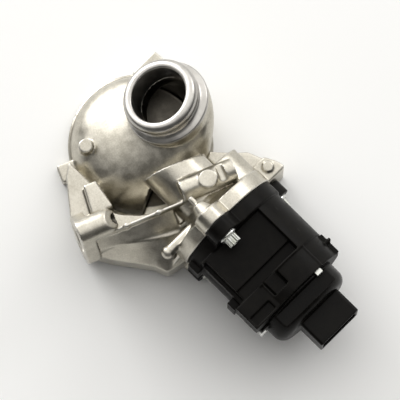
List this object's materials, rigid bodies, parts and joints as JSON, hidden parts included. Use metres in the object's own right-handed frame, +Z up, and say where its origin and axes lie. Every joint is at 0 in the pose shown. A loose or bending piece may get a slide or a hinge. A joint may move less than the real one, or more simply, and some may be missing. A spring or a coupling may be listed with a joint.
{
  "type": "exhaust gas recirculation valve",
  "caption": "Cast mixing housing with a leaning hose spigot and round bell, a poppet gas valve inside, and a black coaxial electric actuator with a plug shroud.",
  "frame": {"origin": "centre of the outlet flange's three-screw circle, in the plane of the outlet face", "axes": "+Z up out of the outlet face towards the spigot, +X along the valve and motor axis towards the connector, +Y to the side away from the gas inlet"},
  "size_m": [0.2015, 0.12, 0.0793],
  "materials": {
    "valve_housing": "die cast, satin grain; spigot and faces turned bright",
    "valve_seat_ring": "ground heat-resistant iron",
    "stem_guide": "sintered bearing bronze",
    "soot_shield": "pressed stainless steel",
    "stem_seal": "moulded fluoroelastomer",
    "outlet_seal_ring": "moulded rubber",
    "actuator_seal_ring": "moulded rubber",
    "return_spring": "wound spring wire",
    "motor_body": "glass-filled black plastic, satin",
    "ear_sleeves": "rolled steel",
    "actuator_screws": "zinc-plated steel",
    "retaining_clips": "spring steel, bright",
    "stator_can": "drawn steel",
    "stator_magnets": "sintered ferrite",
    "brush_holder": "moulded plastic",
    "brushes": "pressed carbon",
    "brush_springs": "spring bronze",
    "rear_bush": "sintered bearing bronze",
    "plunger_guide": "turned steel",
    "bearing_outer_ring": "ground bearing steel",
    "end_cap": "black plastic, polished facet",
    "cap_seal": "moulded rubber",
    "circuit_board": "coated board",
    "position_sensor": "moulded chip",
    "connector_pins": "tinned brass",
    "bearing_inner_ring": "ground bearing steel",
    "rotor_sleeve": "turned steel",
    "rotor_shaft": "ground steel",
    "armature_core": "stacked sheet steel",
    "windings": "enamelled copper wire",
    "commutator": "copper segments",
    "sensor_magnet": "sintered magnet",
    "bearing_balls": "polished steel",
    "ball_cage": "moulded plastic",
    "plunger": "ground steel",
    "cross_pin": "hardened steel",
    "valve_disc": "heat-resistant steel",
    "valve_stem": "ground steel",
    "spring_retainer": "pressed steel",
    "retainer_collets": "pressed steel"
  },
  "bodies": {
    "housing": {"valve_housing": "valve_housing", "valve_seat_ring": "valve_seat_ring", "stem_guide": "stem_guide", "soot_shield": "soot_shield", "stem_seal": "stem_seal", "outlet_seal_ring": "outlet_seal_ring", "actuator_seal_ring": "actuator_seal_ring", "return_spring": "return_spring", "motor_body": "motor_body", "ear_sleeves": "ear_sleeves", "actuator_screws": "actuator_screws", "retaining_clips": "retaining_clips", "stator_can": "stator_can", "stator_magnets": "stator_magnets", "brush_holder": "brush_holder", "brushes": "brushes", "brush_springs": "brush_springs", "rear_bush": "rear_bush", "plunger_guide": "plunger_guide", "bearing_outer_ring": "bearing_outer_ring", "end_cap": "end_cap", "cap_seal": "cap_seal", "circuit_board": "circuit_board", "position_sensor": "position_sensor", "connector_pins": "connector_pins"},
    "rotor": {"bearing_inner_ring": "bearing_inner_ring", "rotor_sleeve": "rotor_sleeve", "rotor_shaft": "rotor_shaft", "armature_core": "armature_core", "windings": "windings", "commutator": "commutator", "sensor_magnet": "sensor_magnet"},
    "bearing_set": {"bearing_balls": "bearing_balls", "ball_cage": "ball_cage"},
    "drive": {"plunger": "plunger", "cross_pin": "cross_pin"},
    "valve": {"valve_disc": "valve_disc", "valve_stem": "valve_stem", "spring_retainer": "spring_retainer", "retainer_collets": "retainer_collets"}
  },
  "joints": [
    {"name": "rotor_turn", "type": "hinge", "parent": "housing", "child": "rotor", "pos_m": [0.1, 0, 0.035], "axis": [1, 0, 0], "range_deg": [0, 120], "stiffness_Nm_per_rad": 0.0123, "springref_deg": -119.98},
    {"name": "cage_turn", "type": "hinge", "parent": "housing", "child": "bearing_set", "pos_m": [0.0835, 0, 0.035], "axis": [1, 0, 0], "range_deg": [0, 54]},
    {"name": "plunger_slide", "type": "slide", "parent": "housing", "child": "drive", "axis": [-1, 0, 0], "range_m": [0, 0.006]},
    {"name": "valve_lift", "type": "slide", "parent": "housing", "child": "valve", "axis": [-1, 0, 0], "range_m": [0, 0.006], "deforming": ["return_spring"]}
  ],
  "couplings": [
    {"joint": "plunger_slide", "follows": "rotor_turn", "m_per_rad": 0.0028647},
    {"joint": "valve_lift", "follows": "rotor_turn", "m_per_rad": 0.0028647},
    {"joint": "cage_turn", "follows": "rotor_turn", "ratio": 0.445}
  ]
}
